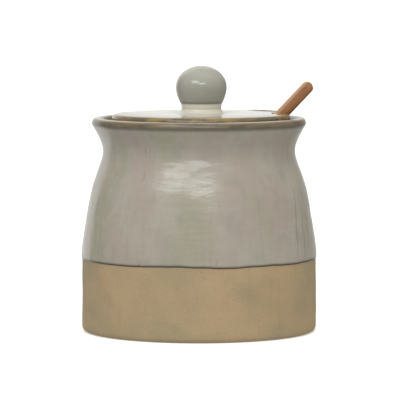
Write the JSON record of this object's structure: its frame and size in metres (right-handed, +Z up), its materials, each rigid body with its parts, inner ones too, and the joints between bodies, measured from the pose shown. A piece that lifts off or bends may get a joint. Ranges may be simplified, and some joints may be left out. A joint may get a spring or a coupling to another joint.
{
  "type": "sugar pot",
  "caption": "Waisted stoneware sugar pot with a bare clay foot, a loose inset lid with a ball knob, and a wooden spoon leaning out through a notch in the lid.",
  "frame": {"origin": "centre of the pot's foot, on the surface that it stands on", "axes": "+Z up along the pot's axis; the spoon's handle leans towards +X; the picture looks along +Y"},
  "size_m": [0.1084, 0.1084, 0.1217],
  "materials": {
    "stoneware": "unglazed buff clay, fired, slightly mottled",
    "reactive_glaze": "gloss reactive grey glaze that breaks brown on edges",
    "liner_glaze": "gloss",
    "spoon_wood": "oiled hardwood"
  },
  "bodies": {
    "pot": {"pot_body": "stoneware", "outer_glaze": "reactive_glaze", "liner_glaze": "liner_glaze"},
    "lid": {"lid_plate": "stoneware", "lid_knob": "stoneware", "lid_glaze": "reactive_glaze", "lid_liner_glaze": "liner_glaze"},
    "spoon": {"spoon": "spoon_wood"}
  },
  "joints": [
    {"name": "lid_lift", "type": "slide", "parent": "pot", "child": "lid", "axis": [0, 0, 1], "range_m": [0, 0.06]},
    {"name": "spoon_slide", "type": "slide", "parent": "pot", "child": "spoon", "axis": [0.6871, 0, 0.7266], "range_m": [0, 0.06]}
  ]
}
